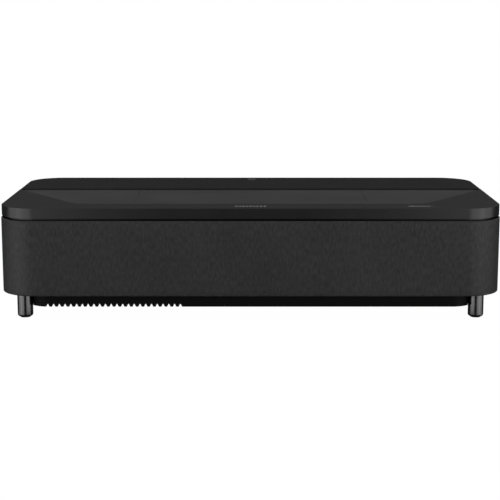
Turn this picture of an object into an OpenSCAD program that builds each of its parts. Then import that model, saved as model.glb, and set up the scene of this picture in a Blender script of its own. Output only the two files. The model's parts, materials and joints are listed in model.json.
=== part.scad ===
// Ultra-short-throw laser projector for the home: a low wide case on four feet,
// with a cloth front cover, a sliding lens door and the light engine inside.
// X points right, Y points to the rear, Z points up. The origin is on the floor
// under the middle of the case. Millimetres.

/* [Case] */
// Overall width, over the cloth
body_w = 695; // [690:1:700]
// Overall depth, cloth to rear panel
body_d = 341; // [341:1:346]
// Overall height, feet included
body_h = 157; // [157:1:162]
// Corner radius of the case seen from above
corner_r = 50; // [46:1:54]
// Height of the top cover's skirt
skirt_h = 14; // [12:0.1:15]
// Shadow gap between the skirt and the cloth
gap_h = 3.2; // [2:0.1:4]
// Height of the cloth's lower edge above the floor
cloth_z0 = 35; // [35:0.5:36]

/* [Top] */
// Depth of the front strip, from the case's front to the band
band_front = 47.7; // [44:0.1:50]
// Depth at which the band meets the rear deck
band_back = 206; // [204:0.5:208]
// Distance from the middle to the band's swept front corner
band_corner_x = 244; // [240:1:246]
// Step from the top surface down to the band
band_step = 1.6; // [1.6:0.1:2]
// Width of the lens door
door_w = 330; // [330:1:332]
// Travel of the lens door
door_travel = 117; // [100:1:117]

/* [Base] */
// Half width of the plinth under the case
plinth_half_w = 310; // [308:1:311]
// Height of the plinth's lip above the floor
plinth_z0 = 17; // [16:0.5:18]
// Number of comb slots in the front lip
comb_count = 24; // [10:1:26]
// Pitch of the comb slots
comb_pitch = 8; // [7:0.5:8]
// Diameter of a front foot
foot_d = 21.6; // [20:0.1:22]
// Travel of a front foot's thread
foot_travel = 8; // [4:1:8]

/* [Hidden] */
$fn = 64;
sides = [-1, 1];
eps = 1;

// case levels and faces
half_w = body_w / 2;
front = -body_d / 2;
rear = body_d / 2;
top = body_h;
skirt_z0 = top - skirt_h;
cloth_z1 = skirt_z0 - gap_h;
cover_inset = 1;
plate_t = 3;
plate_z0 = top - plate_t;
wall = 3;
frame_inset = 5.5;
frame_t = 3.5;
floor_z0 = cloth_z0 + 0.5;
floor_z1 = floor_z0 + 3;

// top band, lens door and rear deck
band_angle = 56;
band_corner_r = 40;
band_side = 343;
band_steps = 14;
band_t = 2.4;
band_z1 = top - band_step;
band_z0 = band_z1 - band_t;
band_tuck = 6;
ledge_t = 1.8;
ledge_w = 6;
fit_gap = 0.3;
deck_t = 1.3;
deck_z0 = top - deck_t;
deck_rim = 8;
door_front = front + 84;
door_len = 129;
door_gap = 0.3;
rail_spare = 0.8;
sensor_x = 2.2;
sensor_w = 12.4;
sensor_len = 28;
sensor_edge = 4;

// door drive: rack under the door and its pinion
rack_x = [145, 151.5];
gear_module = 1;
pinion_teeth = 20;
pinion_r = gear_module * pinion_teeth / 2;
pinion_y = 37.5;
pitch_z = 147.5;
pinion_z = pitch_z - pinion_r;
tooth_pitch = PI * gear_module;

// controls on the front strip
strip_y = front + 24;
button_x = 268;
button_r = 4;
light_x = 252;
badge_pitch = 4.9;

// removable front cover
cloth_t = 1.2;
cover_t = 2.2;
cover_side = 110;
catch_x = 285;
catch_z = [60, 118];

// plinth
plinth_front = front + 17;
plinth_rear = 150;
plinth_r = 30;
comb_x0 = -281.4;
comb_h = 3.9;
comb_gap = 5.6;
comb_top = 0.8;
plinth_floor_z = plinth_z0 + comb_h + 0.1;

// feet
foot_x = 315;
foot_y = front + 31;
foot_round = 3.4;
foot_relief = 1;
pad_r = 7.2;
pad_h = 1.2;
stud_r = 4;
rear_foot_x = 250;
rear_foot_y = 110;

// posts that join the lower case to the mid frame
posts = [[322, -70], [322, 125], [290, -138]];
post_r = 6;
screw_r = 1.5;

// baffle and speakers
baffle_y = front + 18.5;
baffle_t = 3;
speaker_x = 215;
speaker_z = 88;
speaker_r = 38;
cone_r = 29.3;

// filter cassette on the right side
filter_y = [-20, 84];
filter_z = [50, 128];

// fans
fan_size = 92;
fan_t = 25;
fan_z = 90;
intake_x = 300;
intake_y = 32;
exhaust_x = -338;
exhaust_y = 56;

// terminal tray on the rear
tray_x = [40, 285];
tray_z = [48, 112];
tray_y = 157;
socket_z = 80;
hdmi_x = [245, 215, 185];
usb_x = [150, 125];
optical_x = 95;
jack_x = 65;
jack_r = 1.8;
inlet_x = -240;
inlet_z = 72;

// light engine
optic_z = 92;
barrel_r = 27;
barrel_y = [-55, 36];
ring_y = [-30, -12];
ring_r = 33;
lever_x = 78;
engine_x = 80;
engine_y = [36, 120];
engine_z = [46, 130];
wheel_x = -100;
wheel_y = 78;

// ---- shared shapes ----

// A block given by the spans it covers
module span(x, y, z) {
    translate([x[0], y[0], z[0]])
        cube([x[1] - x[0], y[1] - y[0], z[1] - z[0]]);
}

// A flat outline raised from one height to another
module rise(z0, z1) {
    translate([0, 0, z0])
        linear_extrude(z1 - z0)
            children();
}

// Rounded rectangle with true arcs, centred
module plan(w, d, r) {
    square([w - 2 * r, d], center = true);
    square([w, d - 2 * r], center = true);
    for (sx = sides, sy = sides)
        translate([sx * (w / 2 - r), sy * (d / 2 - r)])
            circle(r, $fn = 96);
}

// The case's outline moved in by an inset
module case_plan(inset) {
    plan(body_w - 2 * inset, body_d - 2 * inset, corner_r - inset);
}

// A wall that follows the case's outline between two insets
module case_wall(inset, thick, z0, z1) {
    difference() {
        rise(z0, z1) case_plan(inset);
        rise(z0 - eps, z1 + eps) case_plan(inset + thick);
    }
}

module to_x(x, y, z) {
    translate([x, y, z])
        rotate([0, 90, 0])
            children();
}

module to_y(x, y, z) {
    translate([x, y, z])
        rotate([-90, 0, 0])
            children();
}

module pipe(r_out, r_in, h) {
    difference() {
        cylinder(r = r_out, h = h);
        translate([0, 0, -eps])
            cylinder(r = r_in, h = h + 2 * eps);
    }
}

// ---- top of the case ----

// Outline of the light band: a straight front edge that sweeps back at both ends
module band_outline(grow, back) {
    y0 = front + band_front;
    y1 = front + back;
    arc_x = band_corner_x - band_corner_r * tan(band_angle / 2);
    r = band_corner_r + grow;
    sweep = [
        for (i = [0 : band_steps])
            [arc_x + r * sin(i * band_angle / band_steps),
             y0 + band_corner_r - r * cos(i * band_angle / band_steps)]
    ];
    meet = sweep[band_steps];
    side = band_side + grow;
    side_y = meet[1] + (side - meet[0]) * tan(band_angle);
    right = concat(sweep, [[side, side_y], [side, y1]]);
    left = [for (i = [len(right) - 1 : -1 : 0]) [-right[i][0], right[i][1]]];
    polygon(concat(right, left));
}

// Everything behind the band, as a flat area
module rear_area(y0) {
    translate([-half_w - eps, y0])
        square([body_w + 2 * eps, rear - y0 + eps]);
}

module top_cover() {
    deck_y = front + band_back;
    color("#333336")
        difference() {
            union() {
                difference() {
                    rise(skirt_z0, top) case_plan(cover_inset);
                    rise(skirt_z0 - eps, plate_z0) case_plan(cover_inset + wall);
                }
                rise(band_z0 - ledge_t, plate_z0 + 0.5)
                    intersection() {
                        case_plan(cover_inset + wall / 2);
                        band_outline(4, band_back);
                    }
            }
            rise(band_z0, top + eps) band_outline(fit_gap, band_back + band_tuck + fit_gap);
            rise(skirt_z0 - eps, top + eps) band_outline(-ledge_w, band_back + band_tuck);
            rise(skirt_z0 - eps, top + eps)
                intersection() {
                    case_plan(deck_rim);
                    rear_area(deck_y - eps);
                }
            rise(deck_z0, top + eps) rear_area(deck_y - 0.2);
            translate([button_x, strip_y, plate_z0 - eps])
                cylinder(r = button_r + 0.35, h = plate_t + 2 * eps);
            translate([light_x, strip_y, plate_z0 - eps])
                cylinder(r = 1.2, h = plate_t + 2 * eps);
            badge_blocks(top - 0.4, top + eps, 0);
        }
}

// The badge, as a row of plain bars, and the thin trim line
module badge_blocks(z0, z1, gap) {
    for (i = [-4 : 4])
        span([i * badge_pitch - 1.7 + gap, i * badge_pitch + 1.7 - gap],
             [strip_y - 2.5 + gap, strip_y + 2.5 - gap], [z0, z1]);
    span([217 + gap, 248 - gap], [strip_y - 1.5 + gap, strip_y + 1.5 - gap], [z0, z1]);
}

module badge_bars() {
    color("#77777a")
        badge_blocks(top - 0.4, top - 0.02, 0.1);
}

module band_panel() {
    color("#4a4a4d")
        difference() {
            rise(band_z0, band_z1) band_outline(0, band_back + band_tuck);
            span([-door_w / 2 - door_gap, door_w / 2 + door_gap],
                 [door_front - door_gap, rear], [band_z0 - eps, top]);
        }
}

// Rack teeth point down from the rack's bar
module rack() {
    teeth = floor((door_len - 4) / tooth_pitch);
    span(rack_x, [door_front + 1, door_front + door_len - 1], [pitch_z + 1.4, band_z0 + 0.2]);
    for (i = [0 : teeth - 1])
        translate([rack_x[0], pinion_y - 38.5 * tooth_pitch + i * tooth_pitch, pitch_z + 1.4])
            rotate([90, 0, 90])
                linear_extrude(rack_x[1] - rack_x[0])
                    polygon([[-0.75, 0.1], [0.75, 0.1], [0.35, -2.2], [-0.35, -2.2]]);
}

module lens_door() {
    color("#4a4a4d")
        union() {
            span([-door_w / 2, door_w / 2], [door_front, door_front + door_len], [band_z0, band_z1]);
            rack();
        }
}

module rear_deck() {
    color("#232325")
        difference() {
            rise(deck_z0, top)
                intersection() {
                    case_plan(cover_inset);
                    rear_area(front + band_back);
                }
            rise(deck_z0 - eps, top + eps) sensor_area(0);
        }
}

module sensor_area(inset) {
    translate([sensor_x - sensor_w / 2 + inset, rear - sensor_edge - sensor_len + inset])
        square([sensor_w - 2 * inset, sensor_len - 2 * inset]);
}

module rear_sensor_window() {
    color("#606063")
        rise(deck_z0, top - 0.1) sensor_area(0.1);
}

module power_button() {
    color("#202022")
        translate([button_x, strip_y, 0]) {
            translate([0, 0, plate_z0 - 1.5])
                cylinder(r = button_r, h = plate_t + 1.7 - 0.3);
            translate([0, 0, plate_z0 - 2.5])
                cylinder(r = button_r + 1.5, h = 1.2);
        }
}

module button_board() {
    board_z = plate_z0 - 7;
    color("#1f4d2e") {
        span([light_x - 10, button_x + 12], [strip_y - 8, strip_y + 8], [board_z, board_z + 1.6]);
        span([button_x - 3, button_x + 3], [strip_y - 3, strip_y + 3],
             [board_z + 1.6, plate_z0 - 3.5]);
        for (x = [light_x - 7, button_x + 9])
            translate([x, strip_y, board_z + 1.6])
                cylinder(r = 2, h = plate_z0 - board_z - 1.6);
    }
}

module status_light() {
    color("#d8d8d0")
        translate([light_x, strip_y, plate_z0 - 2])
            cylinder(r = 1.1, h = plate_t + 2 - 0.1);
}

// ---- frames and lower case ----

module mid_frame() {
    z1 = band_z0 - ledge_t;
    color("#17171a")
        difference() {
            union() {
                case_wall(frame_inset, frame_t, cloth_z1 - 6, z1);
                for (s = sides, p = posts) {
                    translate([s * p[0], p[1], floor_z1])
                        cylinder(r = post_r, h = z1 - floor_z1);
                    post_arm(s * p[0], p[1], z1);
                }
            }
            for (s = sides, p = posts)
                translate([s * p[0], p[1], floor_z1 - eps])
                    cylinder(r = screw_r, h = 25);
        }
}

// Short arm from a post out to the frame's wall
module post_arm(x, y, z1) {
    reach = abs(y) > 130 ? [0, front + frame_inset + 2 - y] : [sign(x) * (half_w - frame_inset - 2) - x, 0];
    xs = [min(x, x + reach[0]), max(x, x + reach[0])];
    ys = [min(y, y + reach[1]), max(y, y + reach[1])];
    span([xs[0] - (reach[0] == 0 ? 2 : 0), xs[1] + (reach[0] == 0 ? 2 : 0)],
         [ys[0] - (reach[1] == 0 ? 2 : 0), ys[1] + (reach[1] == 0 ? 2 : 0)], [z1 - 8, z1]);
}

module lower_case() {
    color("#17171a")
        difference() {
            union() {
                rise(floor_z0, floor_z1) case_plan(frame_inset);
                for (s = sides)
                    translate([s * foot_x, foot_y, floor_z1])
                        cylinder(r = 8, h = 16);
            }
            for (s = sides)
                translate([s * foot_x, foot_y, floor_z0 - eps])
                    cylinder(r = stud_r + 0.05, h = 24);
            for (s = sides, p = posts)
                translate([s * p[0], p[1], floor_z0 - eps])
                    cylinder(r = screw_r + 0.3, h = 5);
            for (i = [0 : 13])
                span([-250 + i * 9, -246 + i * 9], [-110, -40], [floor_z0 - eps, floor_z1 + eps]);
        }
}

// Outline of the plinth, hollowed beside the front feet
module plinth_plan(inset) {
    depth = plinth_rear - plinth_front;
    difference() {
        translate([0, (plinth_rear + plinth_front) / 2])
            plan(2 * (plinth_half_w - inset), depth - 2 * inset, plinth_r - inset);
        for (s = sides)
            translate([s * foot_x, foot_y])
                circle(foot_d / 2 + foot_relief + inset);
    }
}

module base_plinth() {
    color("#101012")
        difference() {
            rise(plinth_z0, floor_z0) plinth_plan(0);
            rise(plinth_z0 - eps, plinth_floor_z) plinth_plan(wall);
            rise(plinth_floor_z + wall, floor_z0 + eps) plinth_plan(wall);
            for (i = [0 : comb_count - 1])
                translate([comb_x0 + i * comb_pitch, plinth_front + wall + eps, plinth_z0])
                    rotate([90, 0, 0])
                        linear_extrude(wall + 2 * eps)
                            polygon([[-comb_gap / 2, -eps], [comb_gap / 2, -eps],
                                     [comb_top / 2, comb_h], [-comb_top / 2, comb_h]]);
            for (i = [0 : 13])
                span([-250 + i * 9, -246 + i * 9], [-110, -40],
                     [plinth_floor_z - eps, plinth_floor_z + wall + eps]);
        }
}

// ---- removable front cover ----

// Keeps the part of a shape that the front cover reaches
module cover_part() {
    intersection() {
        children();
        span([-half_w - eps, half_w + eps], [front - eps, front + cover_side], [0, top]);
    }
}

module grille_cloth() {
    color("#2e2e31")
        cover_part() case_wall(0, cloth_t, cloth_z0, cloth_z1);
}

module front_cover_frame() {
    z0 = cloth_z0 + 0.6;
    z1 = cloth_z1 - 0.4;
    color("#141416")
        difference() {
            cover_part() case_wall(cloth_t, cover_t, z0, z1);
            for (s = sides)
                span([s * speaker_x - 60, s * speaker_x + 60], [front - eps, front + 8],
                     [z0 + 12, z1 - 12]);
            span([-135, 135], [front - eps, front + 8], [z0 + 12, z1 - 12]);
        }
}

module cover_magnets() {
    color("#9a9a9c")
        for (s = sides, z = catch_z)
            to_y(s * catch_x, front + cloth_t + cover_t, z)
                cylinder(r = 4, h = 3);
}

module front_baffle() {
    y1 = baffle_y + baffle_t;
    catch_y = front + cloth_t + cover_t + 3 + fit_gap;
    color("#1a1a1d")
        difference() {
            union() {
                span([-298, 298], [baffle_y, y1], [floor_z1, cloth_z1 - 8]);
                for (s = sides, z = catch_z)
                    to_y(s * catch_x, catch_y, z)
                        cylinder(r = 5, h = baffle_y - catch_y + 0.5);
            }
            for (s = sides)
                to_y(s * speaker_x, baffle_y - eps, speaker_z)
                    cylinder(r = 31, h = baffle_t + 2 * eps);
            span([lever_x - 12, lever_x + 12], [baffle_y - eps, y1 + eps], [optic_z - 20, optic_z + 20]);
        }
}

module ir_receiver() {
    color("#2a1414") {
        span([112, 136], [baffle_y - 1.6, baffle_y], [112, 126]);
        to_y(124, baffle_y - 7, 119)
            cylinder(r = 4, h = 5.4);
    }
}

// ---- speakers ----

module speaker_driver(x) {
    y0 = baffle_y + baffle_t;
    color("#3a3a3c")
        to_y(x, y0, speaker_z)
            rotate_extrude()
                polygon([
                    [31, 0], [speaker_r, 0], [speaker_r, 2.5], [33, 2.5], [21.5, 24], [24, 24], [24, 40],
                    [0, 40], [0, 26], [19.5, 26], [19.5, 22.5], [31, 2]
                ]);
}

module speaker_cone(x) {
    y0 = baffle_y + baffle_t;
    color("#0c0c0e")
        to_y(x, y0 + 2, speaker_z)
            rotate_extrude()
                polygon([
                    [cone_r, 0], [cone_r, 1], [27, 1.4], [10, 15], [10, 21], [8.5, 21], [8.5, 15],
                    [0, 12.5], [0, 11.5], [8.5, 13], [26.5, 0]
                ]);
}

module speaker_left() speaker_driver(-speaker_x);
module speaker_cone_left() speaker_cone(-speaker_x);
module speaker_right() speaker_driver(speaker_x);
module speaker_cone_right() speaker_cone(speaker_x);

// ---- side and rear panels ----

// Level louvre slots cut through a wall along Y
module louvres(x, y, z) {
    count = floor((z[1] - z[0]) / 6);
    for (i = [0 : count - 1])
        span(x, y, [z[0] + 1.5 + i * 6, z[0] + 4.5 + i * 6]);
}

module side_wall(s) {
    x = s > 0 ? [half_w - corner_r, half_w + eps] : [-half_w - eps, -half_w + corner_r];
    intersection() {
        case_wall(0, wall, cloth_z0, cloth_z1);
        span(x, [front + cover_side + 0.5, rear + eps], [0, top]);
    }
}

module side_panel_left() {
    color("#1d1d20")
        difference() {
            side_wall(-1);
            louvres([-half_w - eps, -half_w + wall + eps], [-46, 24], [46, 130]);
            louvres([-half_w - eps, -half_w + wall + eps], [30, 106], [46, 130]);
        }
}

module side_panel_right() {
    color("#1d1d20")
        difference() {
            side_wall(1);
            span([half_w - wall - eps, half_w + eps], filter_y, filter_z);
        }
}

// Louvred cover with the moulded frame that holds the foam
module filter_cover() {
    x = [half_w - wall, half_w];
    y = [filter_y[0] + door_gap, filter_y[1] - door_gap];
    z = [filter_z[0] + door_gap, filter_z[1] - door_gap];
    mid = (y[0] + y[1]) / 2;
    color("#1d1d20")
        difference() {
            union() {
                span(x, y, z);
                span([x[0] - 12, x[0]], [y[0] + 3, y[1] - 3], [z[0] + 3, z[1] - 3]);
            }
            span([x[0] - 12 - eps, x[0]], [y[0] + 7, y[1] - 7], [z[0] + 7, z[1] - 7]);
            louvres([x[0] - eps, x[1] + eps], [y[0] + 7, mid - 2], [z[0] + 7, z[1] - 5]);
            louvres([x[0] - eps, x[1] + eps], [mid + 2, y[1] - 7], [z[0] + 7, z[1] - 5]);
        }
}

module filter_foam() {
    hold = 7 + door_gap;
    color("#55565a")
        span([half_w - wall - 11, half_w - wall - 2], [filter_y[0] + hold, filter_y[1] - hold],
             [filter_z[0] + hold, filter_z[1] - hold]);
}

module rear_panel() {
    x = half_w - corner_r - fit_gap;
    color("#1d1d20")
        difference() {
            span([-x, x], [rear - wall, rear], [cloth_z0, cloth_z1]);
            span(tray_x, [rear - wall - eps, rear + eps], tray_z);
            span([inlet_x - 15, inlet_x + 15], [rear - wall - eps, rear + eps],
                 [inlet_z - 12, inlet_z + 12]);
            for (i = [0 : 11])
                span([-190 + i * 10, -184 + i * 10], [rear - wall - eps, rear + eps], [50, 110]);
        }
}

// Recessed tray that the signal sockets look out of
module terminal_tray() {
    x = [tray_x[0] + 0.2, tray_x[1] - 0.2];
    z = [tray_z[0] + 0.2, tray_z[1] - 0.2];
    color("#141416")
        difference() {
            span(x, [tray_y, rear - 0.5], z);
            span([x[0] + 2, x[1] - 2], [tray_y + 2, rear + eps], [z[0] + 2, z[1] - 2]);
            for (hx = hdmi_x)
                socket_hole(hx, 15.6, 6.6);
            for (ux = usb_x)
                socket_hole(ux, 14.6, 7.6);
            socket_hole(optical_x, 10.6, 10.6);
            to_y(jack_x, tray_y - eps, socket_z)
                cylinder(r = 4.2, h = 4);
        }
}

module socket_hole(x, w, h) {
    span([x - w / 2, x + w / 2], [tray_y - eps, tray_y + 3], [socket_z - h / 2, socket_z + h / 2]);
}

// Metal-shelled socket with a tongue, open to the rear
module shell_socket(x, w, h, depth) {
    y1 = tray_y + 3;
    difference() {
        span([x - w / 2, x + w / 2], [y1 - depth, y1], [socket_z - h / 2, socket_z + h / 2]);
        span([x - w / 2 + 0.6, x + w / 2 - 0.6], [y1 - depth + 2, y1 + eps],
             [socket_z - h / 2 + 0.6, socket_z + h / 2 - 0.6]);
    }
}

module hdmi_sockets() {
    color("#b5b5b8")
        for (x = hdmi_x)
            shell_socket(x, 15.2, 6.2, 11.4);
}

module usb_sockets() {
    color("#b5b5b8")
        for (x = usb_x)
            shell_socket(x, 14.2, 7.2, 11.4);
}

module optical_socket() {
    color("#18181a")
        shell_socket(optical_x, 10.2, 10.2, 11.4);
}

module audio_jack() {
    color("#18181a")
        difference() {
            union() {
                to_y(jack_x, tray_y - 8.4, socket_z)
                    cylinder(r = 4, h = 11.4);
                span([jack_x - 5, jack_x + 5], [tray_y - 8.4, tray_y - 0.2], [socket_z - 5, socket_z + 5]);
            }
            to_y(jack_x, tray_y - 7, socket_z)
                cylinder(r = jack_r, h = 12);
        }
}

module ac_inlet() {
    color("#0e0e10")
        difference() {
            union() {
                span([inlet_x - 14.6, inlet_x + 14.6], [rear - 22, rear - 0.3],
                     [inlet_z - 11.6, inlet_z + 11.6]);
                span([inlet_x - 18, inlet_x + 18], [rear - wall - 3, rear - wall],
                     [inlet_z - 14, inlet_z + 14]);
            }
            span([inlet_x - 12, inlet_x + 12], [rear - 18, rear + eps], [inlet_z - 8, inlet_z + 8]);
        }
    color("#c8c8ca")
        for (dx = [-7, 0, 7])
            span([inlet_x + dx - 1, inlet_x + dx + 1], [rear - 18.5, rear - 8],
                 [inlet_z - 2 + (dx == 0 ? 3 : 0), inlet_z + 2 + (dx == 0 ? 3 : 0)]);
}

// ---- electronics ----

module main_board() {
    y = tray_y - 10;
    color("#1f4d2e") {
        span([50, 290], [y, y + 1.6], [floor_z1, 128]);
        for (i = [0 : 3])
            span([70 + i * 50, 90 + i * 50], [y - 8, y], [96, 116]);
        for (i = [0 : 8])
            to_y(75 + i * 24, y - 9, 56)
                cylinder(r = 4, h = 9);
    }
}

module power_supply() {
    x = [-290, -135];
    y = [20, 140];
    color("#8a7a3a") {
        span(x, y, [floor_z1 + 4, floor_z1 + 5.6]);
        for (px = [x[0] + 6, x[1] - 6], py = [y[0] + 6, y[1] - 6])
            translate([px, py, floor_z1])
                cylinder(r = 3, h = 4);
        span([x[0] + 15, x[0] + 55], [y[0] + 20, y[0] + 60], [floor_z1 + 5.6, floor_z1 + 37]);
        span([x[0] + 75, x[0] + 110], [y[0] + 20, y[0] + 50], [floor_z1 + 5.6, floor_z1 + 33]);
        for (i = [0 : 3])
            translate([x[0] + 25 + i * 26, y[0] + 90, floor_z1 + 5.6])
                cylinder(r = 9, h = 34);
    }
}

// ---- feet ----

// Metal sleeve with the threaded stud that raises and lowers the corner
module front_foot(s) {
    foot_r = foot_d / 2;
    color("#6e6e72")
        translate([s * foot_x, foot_y, 0])
            difference() {
                union() {
                    translate([0, 0, pad_h])
                        cylinder(r1 = foot_r - foot_round, r2 = foot_r - 1, h = 1);
                    translate([0, 0, pad_h + 1])
                        cylinder(r1 = foot_r - 1, r2 = foot_r, h = foot_round - 1);
                    translate([0, 0, pad_h + foot_round])
                        cylinder(r = foot_r, h = floor_z0 - fit_gap - pad_h - foot_round);
                    translate([0, 0, pad_h + foot_round])
                        cylinder(r = stud_r, h = floor_z1 + foot_travel + 10 - pad_h - foot_round);
                }
                translate([0, 0, pad_h - eps])
                    cylinder(r = 6.05, h = 3 + eps);
            }
}

// Rubber pad that stays still on the floor while the foot turns on it
module foot_pad(s) {
    color("#1a1a1a")
        translate([s * foot_x, foot_y, 0]) {
            cylinder(r = pad_r, h = pad_h);
            cylinder(r = 6, h = pad_h + 2.5);
        }
}

module front_foot_left() front_foot(-1);
module foot_pad_left() foot_pad(-1);
module front_foot_right() front_foot(1);
module foot_pad_right() foot_pad(1);

module rear_feet() {
    color("#1a1a1a")
        for (s = sides)
            translate([s * rear_foot_x, rear_foot_y, 0])
                rotate_extrude()
                    polygon([
                        [0, 0], [13, 0], [14, 1], [15, plinth_floor_z - 2], [15, plinth_floor_z],
                        [0, plinth_floor_z]
                    ]);
}

// ---- light engine ----

module engine_base() {
    color("#8c8e92") {
        span([-112, 112], [-138, 124], [floor_z1 + 3.5, engine_z[0]]);
        for (x = [-100, 100], y = [-128, -10, 112])
            translate([x, y, floor_z1])
                cylinder(r = 5, h = 3.5);
        for (s = sides)
            span([s * 24 - 4, s * 24 + 4], [-50, -36], [engine_z[0], optic_z - barrel_r + 4.5]);
    }
}

module engine_housing() {
    t = 3;
    color("#2b2c30")
        difference() {
            union() {
                span([-engine_x, engine_x], engine_y, engine_z);
                to_y(0, engine_y[0] - 5, optic_z)
                    pipe(40, barrel_r + 0.4, 6);
            }
            span([-engine_x + t, engine_x - t], [engine_y[0] + t, engine_y[1] - t],
                 [engine_z[0] + t, engine_z[1] - t]);
            to_y(0, engine_y[0] - eps, optic_z)
                cylinder(r = 20.05, h = t + 2 * eps);
            to_x(engine_x - t - eps, 85, optic_z)
                cylinder(r = 14, h = t + 2 * eps);
            to_x(-engine_x - eps, wheel_y + 20, optic_z)
                cylinder(r = 8, h = t + 2 * eps);
        }
}

module prism() {
    color("#b8d8dc")
        span([-14, 14], [64, 92], [engine_z[0] + 3, optic_z + 14]);
}

module lcd_panels() {
    z = [engine_z[0] + 3, optic_z + 16];
    color("#50306a") {
        span([-20, -17], [62, 94], z);
        span([17, 20], [62, 94], z);
        span([-16, 16], [95, 98], z);
    }
}

module lens_barrel() {
    color("#18181b")
        difference() {
            union() {
                to_y(0, barrel_y[0], optic_z)
                    cylinder(r = barrel_r, h = barrel_y[1] - barrel_y[0] - 0.3);
                to_y(0, barrel_y[0], optic_z)
                    cylinder(r = 20, h = barrel_y[1] - barrel_y[0] + 14);
                to_y(0, barrel_y[0] - 5, optic_z)
                    cylinder(r = ring_r, h = 8);
            }
            to_y(0, barrel_y[0] - 6, optic_z)
                cylinder(r = 17, h = 120);
        }
    color("#9fb7c4")
        for (y = [barrel_y[0] + 6, 0, barrel_y[1] + 6])
            to_y(0, y, optic_z)
                cylinder(r = 17.2, h = 5);
}

module focus_ring() {
    lever_y = front + 11;
    color("#38383c")
        union() {
            to_y(0, ring_y[0], optic_z)
                pipe(ring_r, barrel_r + 0.06, ring_y[1] - ring_y[0]);
            span([ring_r - 2, lever_x + 3], [ring_y[0] + 3, ring_y[1] - 3], [optic_z - 3, optic_z + 3]);
            span([lever_x - 3, lever_x + 3], [lever_y + 6, ring_y[1] - 3], [optic_z - 3, optic_z + 3]);
            span([lever_x - 5, lever_x + 5], [lever_y, lever_y + 7], [optic_z - 5, optic_z + 5]);
        }
}

module mirror() {
    curve_r = 120;
    color("#c9ced4")
        difference() {
            translate([0, -12, optic_z])
                sphere(r = curve_r, $fn = 96);
            translate([0, -12, optic_z])
                sphere(r = curve_r - 5, $fn = 96);
            span([-150, 150], [-105, 150], [-60, 300]);
            span([-150, -58], [-150, 0], [-60, 300]);
            span([58, 150], [-150, 0], [-60, 300]);
            span([-150, 150], [-150, 0], [-60, engine_z[0] + 8]);
            span([-150, 150], [-150, 0], [139, 300]);
        }
    color("#2b2c30")
        for (s = sides)
            span([s * 50 - 5, s * 50 + 5], [-138, -105], [engine_z[0], engine_z[0] + 8]);
}

// Black frame under the door that shields the window
module window_hood() {
    z1 = band_z0 - 0.5;
    color("#0b0b0d")
        difference() {
            union() {
                span([-143, 143], [-85.5, 31], [139.5, z1]);
                for (s = sides)
                    span([s * 139 - 4, s * 139 + 4], [20, 30], [engine_z[1] - 4, 140]);
            }
            span([-134, 134], [-78, 23], [143.5, z1 + eps]);
            span([-122, 122], [-68, 13], [139, 144]);
        }
}

module window_glass() {
    color("#3a4a52")
        span([-133.8, 133.8], [-77.8, 22.8], [143.5, 146.5]);
}

module laser_bank() {
    color("#55565c") {
        span([engine_x, 96], [66, 104], [optic_z - 19, optic_z + 19]);
        span([96, 150], [60, 110], [engine_z[0] + 4, optic_z + 26]);
        span([114, 146], [64, 106], [floor_z1, engine_z[0] + 4]);
    }
}

module laser_heat_sink() {
    color("#a8aab0") {
        span([150, 156], [60, 112], [50, 130]);
        for (i = [0 : 15])
            span([155.5, 285], [60 + i * 3.4, 61.2 + i * 3.4], [50, 130]);
    }
}

module wheel_motor() {
    color("#5c5e64") {
        to_x(wheel_x - 22, wheel_y, optic_z)
            cylinder(r = 13, h = 16);
        to_x(wheel_x - 6, wheel_y, optic_z)
            cylinder(r = 1.5, h = 14);
        span([wheel_x - 22, wheel_x - 18], [wheel_y - 13, wheel_y + 13], [engine_z[0], optic_z]);
    }
}

module phosphor_wheel() {
    color("#d8c860")
        difference() {
            union() {
                to_x(wheel_x, wheel_y, optic_z)
                    cylinder(r = 30, h = 1.5);
                to_x(wheel_x - 4, wheel_y, optic_z)
                    cylinder(r = 8, h = 8);
            }
            to_x(wheel_x - 5, wheel_y, optic_z)
                cylinder(r = 1.55, h = 10);
            to_x(wheel_x - 5, wheel_y + 20, optic_z)
                cylinder(r = 1, h = 10);
        }
}

// ---- fans ----

module fan_frame(x, y) {
    r = fan_size / 2 - 2;
    half = fan_size / 2;
    color("#1b1b1e") {
        difference() {
            span([x, x + fan_t], [y - half, y + half], [fan_z - half, fan_z + half]);
            to_x(x - eps, y, fan_z)
                cylinder(r = r, h = fan_t + 2 * eps);
            for (sy = sides, sz = sides)
                to_x(x - eps, y + sy * 41, fan_z + sz * 41)
                    cylinder(r = 2.2, h = fan_t + 2 * eps);
        }
        to_x(x, y, fan_z)
            cylinder(r = 17, h = 3);
        to_x(x, y, fan_z)
            cylinder(r = 2, h = 19);
        for (a = [45 : 90 : 315])
            to_x(x, y, fan_z)
                rotate([0, 0, a])
                    translate([15, -2, 0])
                        cube([r - 14, 4, 3]);
    }
    color("#1b1b1e")
        for (dy = [-half + 6, half - 6])
            span([x + 2, x + fan_t - 2], [y + dy - 4, y + dy + 4], [floor_z1, fan_z - half]);
}

module fan_rotor(x, y) {
    blade_r = fan_size / 2 - 3.2;
    color("#26262a")
        to_x(x, y, fan_z)
            difference() {
                union() {
                    translate([0, 0, 4])
                        cylinder(r = 18, h = 18);
                    for (a = [0 : 40 : 320])
                        rotate([0, 0, a])
                            translate([16, 0, 13])
                                rotate([35, 0, 0])
                                    translate([0, -9, -0.75])
                                        cube([blade_r - 17.5, 18, 1.5]);
                }
                translate([0, 0, 3])
                    cylinder(r = 2.05, h = 17);
            }
}

module intake_fan_frame() fan_frame(intake_x, intake_y);
module intake_fan_rotor() fan_rotor(intake_x, intake_y);
module exhaust_fan_frame() fan_frame(exhaust_x, exhaust_y);
module exhaust_fan_rotor() fan_rotor(exhaust_x, exhaust_y);

// ---- door drive ----

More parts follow.
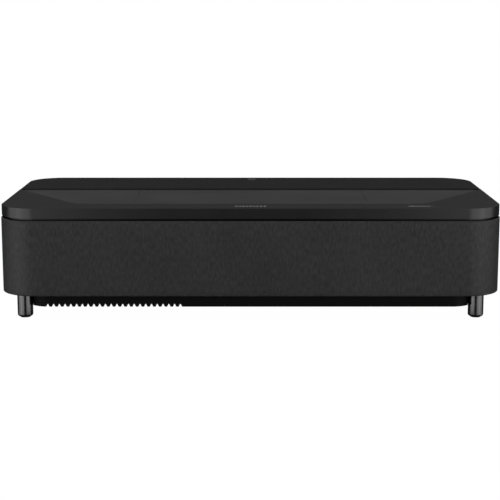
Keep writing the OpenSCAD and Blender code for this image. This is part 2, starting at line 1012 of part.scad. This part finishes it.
module door_rails() {
    gap_z = band_z0 - fit_gap;
    edge = door_w / 2 + 0.6;
    profile = [
        [143.5, 144], [172, 144], [172, band_z0], [edge, band_z0], [edge, gap_z], [152.5, gap_z],
        [152.5, 145.5], [143.5, 145.5]
    ];
    length = door_len + door_travel + rail_spare;
    color("#0b0b0d")
        difference() {
            for (s = sides)
                translate([0, door_front + 1 + length, 0])
                    rotate([90, 0, 0])
                        linear_extrude(length)
                            polygon([for (p = profile) [s * p[0], p[1]]]);
            span([144, 152.4], [pinion_y - 11.5, pinion_y + 11.5], [143, 146.4]);
        }
}

module door_pinion() {
    color("#c8c4b8")
        to_x(rack_x[0] + 0.5, pinion_y, pinion_z)
            difference() {
                union() {
                    cylinder(r = pinion_r - 1.5, h = 5.5);
                    for (i = [0 : pinion_teeth - 1])
                        rotate([0, 0, i * 360 / pinion_teeth])
                            linear_extrude(5.5)
                                polygon([[7.5, -0.75], [7.5, 0.75], [10.8, 0.35], [10.8, -0.35]]);
                }
                translate([0, 0, -eps])
                    cylinder(r = 1.55, h = 8);
            }
}

// Small geared motor hung under the right rail, its shaft through the pinion
module door_motor() {
    color("#8c8e92") {
        to_x(rack_x[0], pinion_y, pinion_z)
            cylinder(r = 1.5, h = 9);
        span([153, 164], [pinion_y - 6, pinion_y + 6], [pinion_z - 5, pinion_z + 5]);
        to_x(164, pinion_y, pinion_z)
            cylinder(r = 5.5, h = 20);
        span([153, 156], [pinion_y - 6, pinion_y + 6], [pinion_z + 5, 144]);
    }
}

// ---- fasteners ----

module case_screws() {
    color("#9a9a9c")
        for (s = sides, p = posts)
            translate([s * p[0], p[1], 0]) {
                translate([0, 0, floor_z0 - 2])
                    cylinder(r = 3, h = 2);
                translate([0, 0, floor_z0 - 1])
                    cylinder(r = screw_r - 0.05, h = 20);
            }
}

top_cover();
band_panel();
lens_door();
rear_deck();
rear_sensor_window();
badge_bars();
power_button();
button_board();
status_light();
mid_frame();
lower_case();
base_plinth();
grille_cloth();
front_cover_frame();
cover_magnets();
front_baffle();
ir_receiver();
speaker_left();
speaker_cone_left();
speaker_right();
speaker_cone_right();
side_panel_left();
side_panel_right();
filter_cover();
filter_foam();
rear_panel();
terminal_tray();
hdmi_sockets();
usb_sockets();
optical_socket();
audio_jack();
ac_inlet();
main_board();
power_supply();
front_foot_left();
foot_pad_left();
front_foot_right();
foot_pad_right();
rear_feet();
engine_base();
engine_housing();
prism();
lcd_panels();
lens_barrel();
focus_ring();
mirror();
window_hood();
window_glass();
laser_bank();
laser_heat_sink();
wheel_motor();
phosphor_wheel();
intake_fan_frame();
intake_fan_rotor();
exhaust_fan_frame();
exhaust_fan_rotor();
door_rails();
door_pinion();
door_motor();
case_screws();
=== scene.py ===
"""Looks of the home projector: cloth cover, satin case, metal feet and the parts inside."""
import json
import math

import bmesh
import bpy
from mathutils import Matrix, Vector


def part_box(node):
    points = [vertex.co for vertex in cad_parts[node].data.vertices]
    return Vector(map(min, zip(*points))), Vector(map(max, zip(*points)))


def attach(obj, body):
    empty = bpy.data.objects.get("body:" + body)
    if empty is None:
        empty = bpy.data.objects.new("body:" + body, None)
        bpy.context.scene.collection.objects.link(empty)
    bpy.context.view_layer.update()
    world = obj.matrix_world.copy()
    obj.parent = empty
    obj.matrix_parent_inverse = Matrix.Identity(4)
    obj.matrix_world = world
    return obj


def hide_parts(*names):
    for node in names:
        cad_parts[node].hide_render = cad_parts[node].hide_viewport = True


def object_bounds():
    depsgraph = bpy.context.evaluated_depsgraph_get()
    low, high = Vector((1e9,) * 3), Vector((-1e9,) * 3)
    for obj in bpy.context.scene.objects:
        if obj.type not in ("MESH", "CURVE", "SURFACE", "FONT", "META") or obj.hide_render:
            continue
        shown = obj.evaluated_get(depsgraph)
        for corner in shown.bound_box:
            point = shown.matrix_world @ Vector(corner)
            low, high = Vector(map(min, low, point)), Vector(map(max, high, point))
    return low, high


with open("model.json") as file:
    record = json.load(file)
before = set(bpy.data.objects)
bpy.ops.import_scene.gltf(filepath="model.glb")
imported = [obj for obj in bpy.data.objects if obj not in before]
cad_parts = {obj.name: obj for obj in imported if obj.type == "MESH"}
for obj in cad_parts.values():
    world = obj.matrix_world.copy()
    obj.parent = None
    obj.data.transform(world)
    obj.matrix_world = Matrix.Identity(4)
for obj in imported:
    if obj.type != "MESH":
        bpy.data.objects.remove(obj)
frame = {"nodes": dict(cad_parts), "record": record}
cad_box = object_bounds()
LOW, HIGH = cad_box
MM = 0.001
NODES = frame["nodes"]
SLOT_OF = {s["node"]: s["material_slot"] for s in frame["record"]["subparts"]}
FLOOR_REACH = 2.4
LOWER_CASE_Z = 35.5
CORNER_R = 50 * MM
SIDE_STEPS, ARC_STEPS, FLAT_STEPS = 6, 28, 60
WRAP_STEPS, LIP_STEPS, CLOTH_ROWS = 6, 4, 10
# Darker copies of the black plastic, as painted shade: one for the plinth tucked under the case, one
# for the frame seen through the slit under the top cover
COATS = {"base_plinth": "plinth", "mid_frame": "frame_satin"}
ROOM_LIGHT = 0.03
BODY_OF = {n: b for b, ns in frame["record"]["behaviour"]["bodies"].items() for n in ns}

# ---------------------------------------------------------------- node helpers


class Shader:
    """A node material being built: short calls that add and join nodes."""

    def __init__(self, name):
        self.mat = bpy.data.materials.new(name)
        self.mat.use_nodes = True
        self.tree = self.mat.node_tree
        self.bsdf = self.tree.nodes["Principled BSDF"]
        self.coords = self.add("ShaderNodeTexCoord").outputs["Object"]

    def add(self, kind, **settings):
        node = self.tree.nodes.new(kind)
        for key, value in settings.items():
            setattr(node, key, value)
        return node

    def join(self, out, socket):
        self.tree.links.new(out, socket)

    def scaled(self, scale, source=None):
        """Texture coordinates stretched by a scale per axis."""
        node = self.add("ShaderNodeMapping")
        node.inputs["Scale"].default_value = scale
        self.join(source or self.coords, node.inputs["Vector"])
        return node.outputs["Vector"]

    def noise(self, cell, detail=2.0, rough=0.5, stretch=(1, 1, 1), source=None):
        """Noise whose cells are about that many metres across."""
        node = self.add("ShaderNodeTexNoise")
        node.inputs["Scale"].default_value = 1.0
        node.inputs["Detail"].default_value = detail
        node.inputs["Roughness"].default_value = rough
        scale = [s / cell for s in stretch]
        self.join(self.scaled(scale, source=source), node.inputs["Vector"])
        return node.outputs["Fac"]

    def ramp(self, fac, stops):
        """Colour ramp over fac; each stop is (place, colour or grey)."""
        node = self.add("ShaderNodeValToRGB")
        points = node.color_ramp.elements
        while len(points) < len(stops):
            points.new(0.5)
        for point, (place, colour) in zip(points, stops):
            point.position = place
            point.color = (*grey(colour), 1)
        self.join(fac, node.inputs["Fac"])
        return node.outputs["Color"]

    def math(self, operation, a, b=None, c=None):
        """One sum; each term is a number or another node's output."""
        node = self.add("ShaderNodeMath", operation=operation)
        for socket, value in zip(node.inputs, (a, b, c)):
            if value is None:
                continue
            if hasattr(value, "links"):
                self.join(value, socket)
            else:
                socket.default_value = value
        return node.outputs["Value"]

    def multiplied(self, a, b):
        """Two colours multiplied; the second may be a plain colour or grey."""
        node = self.add("ShaderNodeMix", data_type="RGBA", blend_type="MULTIPLY")
        node.inputs["Factor"].default_value = 1
        self.join(a, node.inputs[6])
        if hasattr(b, "links"):
            self.join(b, node.inputs[7])
        else:
            node.inputs[7].default_value = (*grey(b), 1)
        return node.outputs[2]

    def bump(self, height, depth, strength=1.0):
        """Bump that treats height 0..1 as that many metres."""
        node = self.add("ShaderNodeBump")
        node.inputs["Distance"].default_value = depth
        node.inputs["Strength"].default_value = strength
        self.join(height, node.inputs["Height"])
        return node.outputs["Normal"]

    def finish(self, colour=None, rough=None, normal=None, **constants):
        """Fills the Principled shader: linked sockets first, constants by their name."""
        for socket, source in (("Base Color", colour), ("Roughness", rough), ("Normal", normal)):
            if source is not None:
                self.join(source, self.bsdf.inputs[socket])
        for key, value in constants.items():
            self.bsdf.inputs[key.replace("_", " ")].default_value = value
        return self.mat


def grey(colour):
    return colour if hasattr(colour, "__len__") else (colour, colour, colour)


def shade(colour, factor):
    return tuple(c * factor for c in grey(colour))


# ---------------------------------------------------------------- materials


def moulded(name, colour, rough, grain=0.45 * MM, depth=0.02 * MM, specular=0.5, spread=0.12):
    """Moulded plastic with a fine spark texture and slightly uneven gloss."""
    s = Shader(name)
    patch = s.noise(60 * MM, detail=3)
    base = s.ramp(patch, [(0.3, shade(colour, 1 - spread)), (0.7, shade(colour, 1 + spread))])
    grain_height = s.noise(grain, detail=2, rough=0.6)
    gloss = s.ramp(s.noise(20 * MM, detail=2), [(0.3, rough - 0.015), (0.7, rough + 0.015)])
    return s.finish(base, gloss, s.bump(grain_height, depth), Specular_IOR_Level=specular)


def brushed(name, colour, rough, along="Z", metallic=1.0):
    """Metal brushed along X or Z."""
    s = Shader(name)
    stretch = {"X": (0.02, 1, 1), "Z": (1, 1, 0.02)}[along]
    lines = s.noise(0.12 * MM, detail=3, rough=0.7, stretch=stretch)
    base = s.ramp(lines, [(0.3, shade(colour, 0.82)), (0.7, shade(colour, 1.15))])
    gloss = s.ramp(lines, [(0.3, rough - 0.07), (0.7, rough + 0.07)])
    return s.finish(base, gloss, s.bump(lines, 0.01 * MM), Metallic=metallic)


def cast_metal(name, colour, rough, grain=0.8 * MM):
    """Die-cast or plated metal with a slight orange-peel."""
    s = Shader(name)
    peel = s.noise(grain, detail=3)
    base = s.ramp(s.noise(25 * MM, detail=4), [(0.3, shade(colour, 0.88)), (0.7, shade(colour, 1.08))])
    gloss = s.ramp(peel, [(0.3, rough - 0.05), (0.7, rough + 0.06)])
    return s.finish(base, gloss, s.bump(peel, 0.03 * MM), Metallic=1.0)


def rubber(name, colour):
    s = Shader(name)
    dust = s.noise(14 * MM, detail=5, rough=0.65)
    base = s.ramp(dust, [(0.35, shade(colour, 0.8)), (0.75, shade(colour, 1.7))])
    gloss = s.ramp(dust, [(0.3, 0.68), (0.7, 0.86)])
    return s.finish(base, gloss, s.bump(s.noise(0.35 * MM, detail=2), 0.03 * MM),
                    Specular_IOR_Level=0.3)


def woven(name, colour, thread=1.05 * MM):
    """Plain-woven speaker cloth: warp and weft ride over each other in turn, with uneven yarn and
    painted shade where the threads dip.
    """
    s = Shader(name)
    place = s.add("ShaderNodeAttribute", attribute_name="weave").outputs["Vector"]
    wobble = s.noise(7 * MM, detail=2, source=place)
    split = s.add("ShaderNodeSeparateXYZ")
    s.join(place, split.inputs["Vector"])
    u = s.math("MULTIPLY", split.outputs["X"], math.pi / thread)
    v = s.math("MULTIPLY", split.outputs["Y"], math.pi / thread)
    u = s.math("ADD", u, s.math("MULTIPLY", wobble, 1.6))
    warp = s.math("ABSOLUTE", s.math("SINE", u))
    weft = s.math("ABSOLUTE", s.math("SINE", v))
    turns = s.math("MULTIPLY", s.math("SIGN", s.math("SINE", u)), s.math("SIGN", s.math("SINE", v)))
    over = s.math("MULTIPLY_ADD", turns, 0.5, 0.5)
    mix = s.add("ShaderNodeMix")
    s.join(over, mix.inputs[0])
    s.join(warp, mix.inputs[2])
    s.join(weft, mix.inputs[3])
    height = mix.outputs[0]
    fibre = s.noise(0.6 * MM, detail=3, stretch=(1, 0.35, 1), source=place)
    slub = s.noise(2.8 * MM, detail=3, rough=0.6, stretch=(1, 0.32, 1), source=place)
    cloud = s.noise(70 * MM, detail=3, stretch=(1, 0.5, 1), source=place)
    tone = s.math("MULTIPLY_ADD", slub, 0.75, s.math("MULTIPLY", cloud, 0.25))
    uneven = s.ramp(tone, [(0.36, 0.81), (0.64, 1.2)])
    # painted shade: where the weave's height is low (threads dipping under) the yarn is coloured
    # darker, mixed with random fibre tone
    dip_shade_and_fibre = s.math("MULTIPLY_ADD", height, 0.6, s.math("MULTIPLY", fibre, 0.4))
    yarn = s.ramp(dip_shade_and_fibre, [(0.1, 0.4), (0.8, 1.3)])
    tint = s.multiplied(uneven, yarn)
    base = s.multiplied(tint, colour)
    # the same painted shade also dims the reflection through Specular Tint
    s.join(tint, s.bsdf.inputs["Specular Tint"])
    return s.finish(base, None, s.bump(height, 0.1 * MM, strength=0.8), Roughness=0.58,
                    Specular_IOR_Level=0.68)


def circuit(name, colour):
    """Printed board: solder mask over copper tracks."""
    s = Shader(name)
    cell = s.add("ShaderNodeTexVoronoi", feature="F1", distance="CHEBYCHEV")
    cell.inputs["Scale"].default_value = 1
    s.join(s.scaled([1 / (4 * MM)] * 3), cell.inputs["Vector"])
    tracks = s.ramp(cell.outputs["Distance"], [(0.38, 0.0), (0.42, 1.0)])
    mix = s.add("ShaderNodeMix", data_type="RGBA")
    s.join(tracks, mix.inputs["Factor"])
    mix.inputs[6].default_value = (*shade(colour, 0.8), 1)
    mix.inputs[7].default_value = (*shade(colour, 1.7), 1)
    return s.finish(mix.outputs[2], None, s.bump(tracks, 0.03 * MM), Roughness=0.35)


def foam(name, colour):
    s = Shader(name)
    cell = s.add("ShaderNodeTexVoronoi", feature="F1")
    cell.inputs["Scale"].default_value = 1
    s.join(s.scaled([1 / (1.1 * MM)] * 3), cell.inputs["Vector"])
    pore = cell.outputs["Distance"]
    # painted shade: the pits at the pore centres are coloured darker
    base = s.ramp(pore, [(0.1, shade(colour, 0.25)), (0.6, shade(colour, 1.3))])
    return s.finish(base, None, s.bump(pore, 0.6 * MM), Roughness=0.95, Specular_IOR_Level=0.2)


def clear(name, colour, rough, transmission=0.0):
    """Polished window, lens or light pipe."""
    s = Shader(name)
    smear = s.noise(30 * MM, detail=4)
    base = s.ramp(smear, [(0.3, shade(colour, 0.92)), (0.7, shade(colour, 1.05))])
    gloss = s.ramp(smear, [(0.3, rough), (0.7, rough + 0.05)])
    return s.finish(base, gloss, Transmission_Weight=transmission)


def phosphor(name):
    """Phosphor ring on a polished disc, by distance from the wheel's axis."""
    s = Shader(name)
    low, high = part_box("phosphor_wheel")
    centre = (low + high) / 2
    split = s.add("ShaderNodeSeparateXYZ")
    s.join(s.coords, split.inputs["Vector"])
    dy = s.math("SUBTRACT", split.outputs["Y"], centre.y)
    dz = s.math("SUBTRACT", split.outputs["Z"], centre.z)
    square = s.math("ADD", s.math("MULTIPLY", dy, dy), s.math("MULTIPLY", dz, dz))
    ring = s.math("DIVIDE", s.math("SQRT", square), (high.z - low.z) / 2)
    base = s.ramp(ring, [(0.6, (0.6, 0.61, 0.63)), (0.64, (0.75, 0.66, 0.12)),
                         (0.94, (0.8, 0.72, 0.2)), (0.97, (0.55, 0.56, 0.58))])
    return s.finish(base, s.ramp(s.noise(2 * MM), [(0.3, 0.35), (0.7, 0.5)]), Metallic=0.4)


MATERIALS = {
    "cover_satin": moulded("cover_satin", 0.0085, 0.32, depth=0.004 * MM, specular=0.62),
    # painted light: the band panel's colour is several times lighter than the cover's, standing in for
    # the light its tilted face catches
    "band_satin": moulded("band_satin", 0.038, 0.42, specular=0.35),
    # painted shade: the rear deck is a slightly darker copy of the top plastic, standing in for the
    # dimmer light on the rear strip
    "deck_satin": moulded("deck_satin", 0.0075, 0.36, specular=0.2),
    "case_black": moulded("case_black", 0.014, 0.5, grain=0.7 * MM, depth=0.04 * MM, specular=0.4),
    # painted shade: a darker copy (0.003) for the frame seen through the slit between top cover and
    # cloth, standing in for the shade in that gap
    "frame_satin": moulded("frame_satin", 0.003, 0.3, specular=0.4),
    # painted shade: a darker copy of the case plastic for the plinth, standing in for the shade under
    # the case
    "plinth": moulded("plinth_painted_shade", 0.003, 0.6, grain=0.7 * MM, depth=0.04 * MM, specular=0.1),
    "frame_black": moulded("frame_black", 0.004, 0.6, grain=0.8 * MM, depth=0.05 * MM, specular=0.15),
    "cloth": woven("cloth", 0.0095),
    "foot_metal": brushed("foot_metal", 0.125, 0.25),
    "rubber_black": rubber("rubber_black", 0.02),
    "badge": brushed("badge", 0.52, 0.4, along="X", metallic=0.4),
    "gloss_black": clear("gloss_black", 0.012, 0.08),
    "lamp_clear": clear("lamp_clear", (0.5, 0.5, 0.47), 0.25),
    "sensor_smoke": clear("sensor_smoke", 0.042, 0.12),
    "steel": cast_metal("steel", 0.5, 0.32),
    "alloy": cast_metal("alloy", 0.42, 0.45),
    "fins": brushed("fins", 0.6, 0.35, along="X"),
    "board": circuit("board", (0.012, 0.07, 0.025)),
    "foam": foam("foam", 0.1),
    "cone_paper": moulded("cone_paper", 0.012, 0.75, grain=1.6 * MM, depth=0.2 * MM, specular=0.2),
    "optic_glass": clear("optic_glass", (0.5, 0.68, 0.72), 0.02, transmission=0.6),
    "window_glass": clear("window_glass", (0.05, 0.07, 0.08), 0.02, transmission=0.35),
    "mirror_coat": cast_metal("mirror_coat", (0.85, 0.87, 0.9), 0.08, grain=40 * MM),
    "phosphor": phosphor("phosphor"),
    "gear_white": moulded("gear_white", (0.6, 0.58, 0.52), 0.45),
}

# ---------------------------------------------------------------- camera, stage, light


def make_camera():
    data = bpy.data.cameras.new("camera")
    data.lens = 96.2
    data.sensor_width = 36
    data.shift_x = -0.001
    data.clip_end = 50
    camera = bpy.data.objects.new("camera", data)
    camera.location = (0, LOW.y - 1.7949, HIGH.z + 0.2675)
    camera.rotation_euler = (math.radians(90 - 10.244), 0, 0)
    bpy.context.scene.collection.objects.link(camera)
    bpy.context.scene.camera = camera


def area_light(name, place, aim, size, power):
    data = bpy.data.lights.new(name, "AREA")
    data.shape = "RECTANGLE"
    data.size, data.size_y = size
    data.energy = power
    light = bpy.data.objects.new(name, data)
    light.location = place
    light.rotation_euler = (Vector(aim) - Vector(place)).to_track_quat("-Z", "Y").to_euler()
    light.visible_camera = False
    bpy.context.scene.collection.objects.link(light)


def make_stage():
    """A pale floor that fades into white surroundings, and the light that they give."""
    bm = bmesh.new()
    bmesh.ops.create_circle(bm, cap_ends=True, segments=96, radius=FLOOR_REACH)
    mesh = bpy.data.meshes.new("floor")
    bm.to_mesh(mesh)
    bm.free()
    floor = bpy.data.objects.new("floor", mesh)
    bpy.context.scene.collection.objects.link(floor)
    s = Shader("floor")
    radius = s.add("ShaderNodeVectorMath", operation="LENGTH")
    s.join(s.coords, radius.inputs[0])
    near = s.ramp(s.math("DIVIDE", radius.outputs["Value"], FLOOR_REACH), [(0.35, 1.0), (0.95, 0.0)])
    s.join(near, s.bsdf.inputs["Alpha"])
    tone = s.ramp(s.noise(0.6, detail=2), [(0.3, 0.018), (0.7, 0.022)])
    s.finish(tone, None, Roughness=0.9, Specular_IOR_Level=0.0, Emission_Color=(1, 1, 1, 1),
             Emission_Strength=0.99)
    floor.data.materials.append(s.mat)
    floor.visible_glossy = False
    world = bpy.data.worlds.new("studio")
    bpy.context.scene.world = world
    world.use_nodes = True
    tree = world.node_tree
    path = tree.nodes.new("ShaderNodeLightPath")
    white = tree.nodes["Background"]
    white.inputs["Color"].default_value = (1, 1, 1, 1)
    white.inputs["Strength"].default_value = 1.0
    soft = tree.nodes.new("ShaderNodeBackground")
    soft.inputs["Color"].default_value = (1, 1, 1, 1)
    soft.inputs["Strength"].default_value = ROOM_LIGHT
    mix = tree.nodes.new("ShaderNodeMixShader")
    tree.links.new(path.outputs["Is Camera Ray"], mix.inputs["Fac"])
    tree.links.new(soft.outputs["Background"], mix.inputs[1])
    tree.links.new(white.outputs["Background"], mix.inputs[2])
    tree.links.new(mix.outputs["Shader"], tree.nodes["World Output"].inputs["Surface"])


def make_lights():
    for side, name in ((-1, "left"), (1, "right")):
        area_light(f"front_{name}", (side * 1.2, -1.5, 0.15), (0, -0.1, 0.15), (1.5, 1.5), 9.4)
        area_light(f"end_{name}", (side * 1.72, -0.58, 0.15), (0, -0.1, 0.15), (1.2, 1.5), 6.5)
        area_light(f"rear_{name}", (side * 1.5, 1.4, 0.9), (0, 0.1, 0.1), (1.2, 1.2), 5)
    area_light("top_soft", (0, 0, 2.6), (0, 0, 0), (3.0, 3.0), 54)
    area_light("back_soft", (0, 2.6, 0.8), (0, 0, 0.15), (4.0, 0.9), 0.5)


# ---------------------------------------------------------------- mesh helpers


def new_piece(name, bm, material, body, replaces=(), smooth=40):
    mesh = bpy.data.meshes.new(name)
    bmesh.ops.recalc_face_normals(bm, faces=bm.faces)
    bm.to_mesh(mesh)
    bm.free()
    piece = bpy.data.objects.new(name, mesh)
    bpy.context.scene.collection.objects.link(piece)
    mesh.materials.append(material)
    mesh.shade_smooth()
    mesh.set_sharp_from_angle(angle=math.radians(smooth))
    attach(piece, body)
    if replaces:
        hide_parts(*replaces)
    return piece


def coat_of(node):
    """A CAD node's material: its slot's, or its own where COATS has one."""
    return MATERIALS[COATS.get(node, SLOT_OF[node])]


def apply_modifiers(piece):
    """Bakes the piece's modifiers into its mesh."""
    graph = bpy.context.evaluated_depsgraph_get()
    graph.update()
    mesh = bpy.data.meshes.new_from_object(piece.evaluated_get(graph))
    piece.modifiers.clear()
    piece.data = mesh


def softened(node, width, segments=3, angle=32):
    """A copy of a CAD node with its hard edges rounded, which stands for the node."""
    bm = bmesh.new()
    bm.from_mesh(NODES[node].data)
    bmesh.ops.remove_doubles(bm, verts=bm.verts, dist=0.004 * MM)
    if node in PIERCED:
        bmesh.ops.join_triangles(bm, faces=bm.faces, angle_face_threshold=math.radians(1),
                                 angle_shape_threshold=math.pi)
    else:
        bmesh.ops.dissolve_limit(bm, angle_limit=math.radians(0.6), verts=bm.verts, edges=bm.edges)
    piece = new_piece(node + "_shell", bm, coat_of(node), BODY_OF[node], [node])
    bevel = piece.modifiers.new("edge", "BEVEL")
    bevel.width = width
    bevel.segments = segments
    bevel.limit_method = "ANGLE"
    bevel.angle_limit = math.radians(angle)
    bevel.use_clamp_overlap = True
    bevel.miter_outer = "MITER_ARC"
    normal = piece.modifiers.new("normals", "WEIGHTED_NORMAL")
    normal.keep_sharp = True
    apply_modifiers(piece)


def lathe(name, profile, centre, material, body, replaces=(), turns=64, smooth=40):
    """A turned piece: profile is (radius, height) in mm from axis to axis."""
    bm = bmesh.new()
    rings = []
    for r, z in profile:
        if r < 0.001:
            rings.append([bm.verts.new((centre.x, centre.y, z * MM))])
            continue
        rings.append([bm.verts.new((centre.x + r * MM * math.cos(i * math.tau / turns),
                                    centre.y + r * MM * math.sin(i * math.tau / turns), z * MM))
                      for i in range(turns)])
    for low, high in zip(rings, rings[1:]):
        for i in range(turns):
            j = (i + 1) % turns
            corners = [low[i % len(low)], low[j % len(low)], high[j % len(high)], high[i % len(high)]]
            bm.faces.new(dict.fromkeys(corners))
    new_piece(name, bm, material, body, replaces, smooth)


def rounded(cx, cy, r, start, end, steps=6):
    """Points of an arc in a turned profile; angles in degrees."""
    angles = [math.radians(start + (end - start) * i / steps) for i in range(steps + 1)]
    return [(cx + r * math.cos(a), cy + r * math.sin(a)) for a in angles]


# ---------------------------------------------------------------- pieces

# Edge rounding in mm of the CAD nodes whose edges are seen
SOFTENED = {
    "top_cover": 0.7, "band_panel": 0.12, "lens_door": 0.1, "rear_deck": 0.45,
    "base_plinth": 0.25, "side_panel_left": 0.4, "side_panel_right": 0.4, "rear_panel": 0.4,
    "filter_cover": 0.3, "terminal_tray": 0.4, "foot_pad_left": 0.4, "foot_pad_right": 0.4,
    "rear_feet": 0.8, "power_button": 0.3, "ac_inlet": 0.5,
}
# Those with holes, whose flat faces can't be merged into one polygon
PIERCED = ("side_panel_left", "side_panel_right", "filter_cover", "rear_panel", "terminal_tray",
           "base_plinth", "top_cover")


def outline_point(along, inset, half_w, half_d, radius, side_y):
    """A point of the case's outline, by its distance along it from the left side's end."""
    side = side_y + half_d - radius
    arc = math.pi / 2 * radius
    flat = 2 * (half_w - radius)
    if along < side:
        return (-half_w + inset, side_y - along)
    if along < side + arc:
        a = (along - side) / arc * math.pi / 2
        r = radius - inset
        return (-half_w + radius - r * math.cos(a), -half_d + radius - r * math.sin(a))
    if along < side + arc + flat:
        return (-half_w + radius + along - side - arc, -half_d + inset)
    mirrored = outline_point(2 * side + 2 * arc + flat - along, inset, half_w, half_d, radius, side_y)
    return (-mirrored[0], mirrored[1])


def cloth_profile(low_z, high_z):
    """The cloth's section, bottom tuck to top tuck: (distance in from the face, height)."""
    wrap = 1.6 * MM
    lip = 1.2 * MM
    bottom_tuck = 4.5 * MM
    top_tuck = 2.6 * MM
    profile = [(bottom_tuck, low_z)]
    for i in range(WRAP_STEPS + 1):
        a = i / WRAP_STEPS * math.pi / 2
        profile.append((wrap - wrap * math.sin(a), low_z + wrap - wrap * math.cos(a)))
    for i in range(1, CLOTH_ROWS):
        profile.append((0, low_z + wrap + (high_z - lip - low_z - wrap) * i / CLOTH_ROWS))
    for i in range(LIP_STEPS + 1):
        a = i / LIP_STEPS * math.pi / 2
        profile.append((lip - lip * math.cos(a), high_z - lip + lip * math.sin(a)))
    profile.append((top_tuck, high_z))
    return profile


def cloth_stops(side, arc, flat):
    """Distances along the outline where the cloth has a column of points."""
    stops = [0.0]
    for reach, steps in ((side, SIDE_STEPS), (arc, ARC_STEPS), (flat, FLAT_STEPS),
                         (arc, ARC_STEPS), (side, SIDE_STEPS)):
        start = stops[-1]
        stops += [start + reach * (i + 1) / steps for i in range(steps)]
    return stops


def make_cloth():
    """The speaker cloth: one sheet stretched over the front cover's frame."""
    low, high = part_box("grille_cloth")
    half_w, half_d, side_y = high.x, -low.y, high.y
    profile = cloth_profile(low.z, high.z)
    stops = cloth_stops(side_y + half_d - CORNER_R, math.pi / 2 * CORNER_R, 2 * (half_w - CORNER_R))
    climb = [0.0]
    for a, b in zip(profile, profile[1:]):
        climb.append(climb[-1] + math.dist(a, b))
    bm = bmesh.new()
    weave = bm.verts.layers.float_vector.new("weave")
    grid = []
    for along in stops:
        column = []
        for (inset, z), up in zip(profile, climb):
            x, y = outline_point(along, inset, half_w, half_d, CORNER_R, side_y)
            vert = bm.verts.new((x, y, z))
            vert[weave] = (along, up, 0)
            column.append(vert)
        grid.append(column)
    for left, right in zip(grid, grid[1:]):
        for i in range(len(profile) - 1):
            bm.faces.new((left[i], right[i], right[i + 1], left[i + 1]))
    piece = new_piece("cloth_cover", bm, MATERIALS["cloth"], "front_cover", ["grille_cloth"])
    solid = piece.modifiers.new("thickness", "SOLIDIFY")
    solid.thickness = 0.8 * MM
    solid.offset = -1
    apply_modifiers(piece)


def make_feet():
    """Turned metal sleeves with a rounded foot, on ribbed rubber pads."""
    for side in ("left", "right"):
        low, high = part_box(f"front_foot_{side}")
        centre = (low + high) / 2
        r = (high.x - low.x) / 2 / MM
        z0, top = low.z / MM, high.z / MM
        shoulder = LOWER_CASE_Z - 0.3
        toe, rim = 3.4, 0.6
        bore_r, bore_depth = 6.05, 3
        neck_r, neck_h = 4, 4
        stud_r, root_r, tip_r, pitch = 3.97, 3.5, 3.2, 1.5
        profile = [(0, z0 + bore_depth), (bore_r, z0 + bore_depth), (bore_r, z0)]
        profile += rounded(r - toe, z0 + toe, toe, -90, 0, 10)
        profile += rounded(r - rim, shoulder - rim, rim, 0, 90, 4)
        profile += [(neck_r, shoulder)]
        z = shoulder + neck_h
        while z < top - pitch:
            profile += [(stud_r, z - 0.5), (stud_r, z), (root_r, z + 0.4), (root_r, z + 0.6)]
            z += pitch
        profile += [(stud_r, top - 1.2), (tip_r, top), (0, top)]
        lathe(f"foot_sleeve_{side}", profile, centre, MATERIALS["foot_metal"], f"foot_{side}",
              [f"front_foot_{side}"], turns=96, smooth=32)


def dress_nodes():
    """Gives every carried-over CAD node its material."""
    for name, node in NODES.items():
        node.data.materials.clear()
        node.data.materials.append(coat_of(name))


make_camera()
make_stage()
make_lights()
dress_nodes()
make_cloth()
make_feet()
for node_name, edge in SOFTENED.items():
    softened(node_name, edge * MM)

bpy.context.scene.view_settings.view_transform = "Standard"
bpy.context.scene.view_settings.look = "None"
